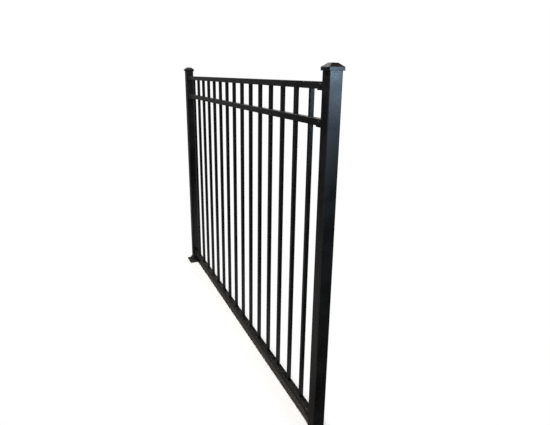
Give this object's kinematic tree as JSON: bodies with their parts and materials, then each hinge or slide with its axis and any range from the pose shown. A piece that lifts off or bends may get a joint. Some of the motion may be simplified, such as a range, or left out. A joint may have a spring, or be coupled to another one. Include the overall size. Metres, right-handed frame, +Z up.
{
  "type": "railing",
  "caption": "Black powder-coated aluminium railing bay: square posts with hipped caps and bolt-down floor flanges, channel rails held in cup brackets, upright square pickets.",
  "frame": {"origin": "middle of the underside of the left floor flange, on the ground", "axes": "+X along the bay from the left post to the right one, +Y towards the back, +Z up"},
  "size_m": [2.162, 0.112, 1.4872],
  "materials": {
    "extrusion_coat": "satin black powder coat on extruded aluminium",
    "casting_coat": "satin black powder coat on cast aluminium, a little coarser"
  },
  "bodies": {
    "root": {"bottom_left_bracket": "casting_coat", "bottom_rail": "extrusion_coat", "bottom_right_bracket": "casting_coat", "left_floor_flange": "casting_coat", "left_post": "extrusion_coat", "left_post_cap": "casting_coat", "middle_left_bracket": "casting_coat", "middle_rail": "extrusion_coat", "middle_right_bracket": "casting_coat", "picket_01": "extrusion_coat", "picket_02": "extrusion_coat", "picket_03": "extrusion_coat", "picket_04": "extrusion_coat", "picket_05": "extrusion_coat", "picket_06": "extrusion_coat", "picket_07": "extrusion_coat", "picket_08": "extrusion_coat", "picket_09": "extrusion_coat", "picket_10": "extrusion_coat", "picket_11": "extrusion_coat", "picket_12": "extrusion_coat", "picket_13": "extrusion_coat", "picket_14": "extrusion_coat", "picket_15": "extrusion_coat", "right_floor_flange": "casting_coat", "right_post": "extrusion_coat", "right_post_cap": "casting_coat", "top_left_bracket": "casting_coat", "top_rail": "extrusion_coat", "top_right_bracket": "casting_coat"}
  },
  "joints": []
}
